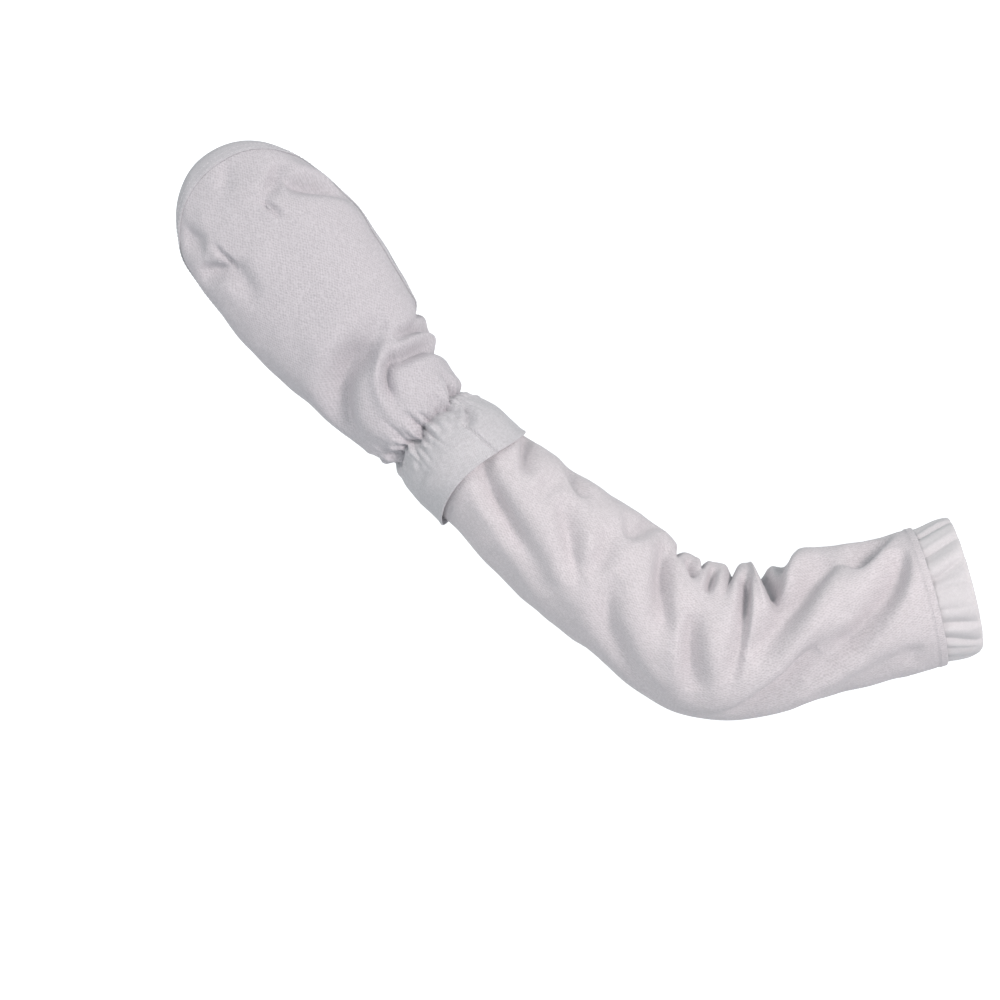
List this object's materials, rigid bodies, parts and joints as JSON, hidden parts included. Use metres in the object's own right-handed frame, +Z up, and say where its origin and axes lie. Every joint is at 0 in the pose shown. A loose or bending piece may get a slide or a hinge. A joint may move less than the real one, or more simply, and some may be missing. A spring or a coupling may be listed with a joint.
{
  "type": "sun protection arm sleeve",
  "caption": "Long loose knit arm sleeve on a bent arm, with an elastic top band, a turned-up wrist cuff and a taped hand cover open at the palm, with a finger loop inside.",
  "frame": {"origin": "centre of the upper mouth, where the arm goes in", "axes": "the bent arm lies in the XZ plane: +X towards the shoulder, +Z up towards the raised hand, -Y the back of the hand, +Y the open palm"},
  "size_m": [0.4998, 0.084, 0.3622],
  "materials": {
    "elastic_knit": "pale grey gathered elastic knit",
    "mesh_knit": "pale grey fine mesh knit, matt",
    "cuff_knit": "pale grey fine mesh knit, matt",
    "cover_knit": "pale grey fine mesh knit, matt",
    "binding_tape": "pale grey folded knit tape",
    "loop_elastic": "grey ribbed elastic"
  },
  "bodies": {
    "root": {"top_band": "elastic_knit", "sleeve": "mesh_knit", "wrist_cuff": "cuff_knit", "hand_cover": "cover_knit", "edge_binding": "binding_tape", "binding_tail": "binding_tape", "finger_loop": "loop_elastic"}
  },
  "joints": []
}
